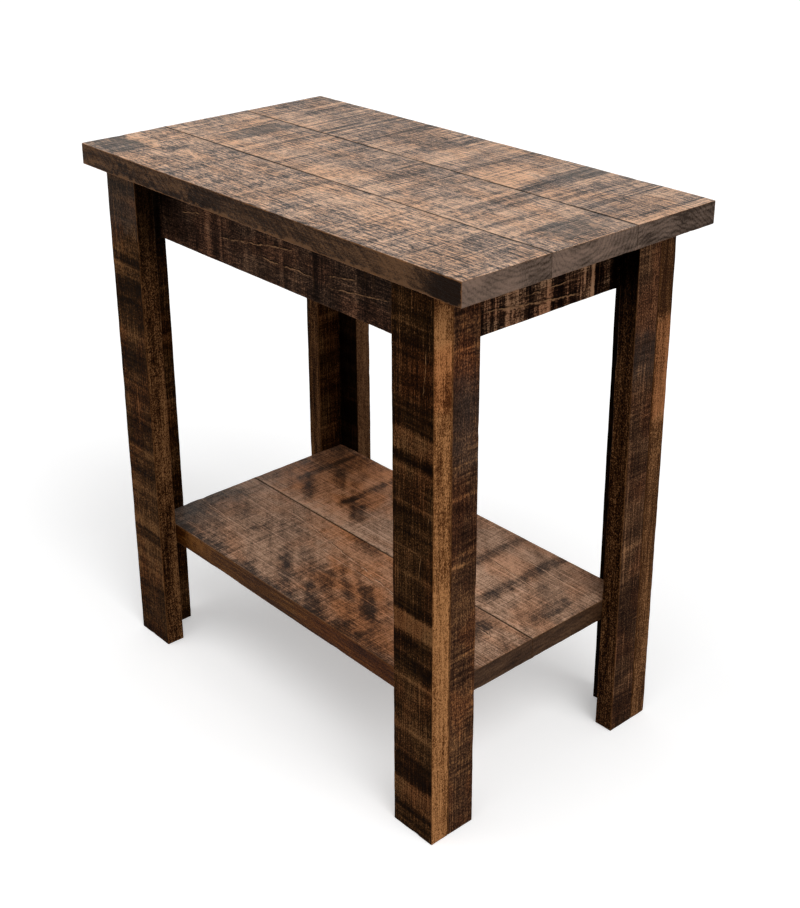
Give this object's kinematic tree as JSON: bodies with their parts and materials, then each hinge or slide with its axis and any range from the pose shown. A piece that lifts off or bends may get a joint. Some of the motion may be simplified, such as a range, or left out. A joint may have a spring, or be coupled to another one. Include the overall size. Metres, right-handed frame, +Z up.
{
  "type": "rustic hickory side table",
  "caption": "Small rectangular side table with an overhanging planked top, L-shaped board legs, an apron frame behind them and a low open shelf.",
  "frame": {"origin": "on the floor, under the middle of the table", "axes": "+X along the table's length to the right, +Y from the front to the rear, +Z up"},
  "size_m": [0.634, 0.356, 0.64],
  "materials": {
    "top_wood": "rough-sawn, tan brown with dark cross-grain saw marks, satin",
    "leg_wood": "rough-sawn, dark brown, golden edges, satin",
    "apron_wood": "rough-sawn, dark brown with upright saw marks, satin",
    "shelf_wood": "smoother, red brown with dark blotches, satin gloss",
    "hidden_wood": "unfinished, planed",
    "screw_steel": "zinc plated"
  },
  "bodies": {
    "root": {"top_front_board": "top_wood", "top_middle_board": "top_wood", "top_rear_board": "top_wood", "front_left_leg_face": "leg_wood", "front_left_leg_side": "leg_wood", "front_right_leg_face": "leg_wood", "front_right_leg_side": "leg_wood", "rear_left_leg_face": "leg_wood", "rear_left_leg_side": "leg_wood", "rear_right_leg_face": "leg_wood", "rear_right_leg_side": "leg_wood", "front_apron": "apron_wood", "rear_apron": "apron_wood", "left_apron": "apron_wood", "right_apron": "apron_wood", "shelf_front_board": "shelf_wood", "shelf_rear_board": "shelf_wood", "front_left_corner_block": "hidden_wood", "front_right_corner_block": "hidden_wood", "rear_left_corner_block": "hidden_wood", "rear_right_corner_block": "hidden_wood", "front_top_cleat": "hidden_wood", "rear_top_cleat": "hidden_wood", "left_top_cleat": "hidden_wood", "right_top_cleat": "hidden_wood", "top_front_spline": "hidden_wood", "top_rear_spline": "hidden_wood", "shelf_spline": "hidden_wood", "leg_dowels": "hidden_wood", "apron_dowels": "hidden_wood", "shelf_dowels": "hidden_wood", "corner_screws": "screw_steel", "cleat_screws": "screw_steel"}
  },
  "joints": []
}
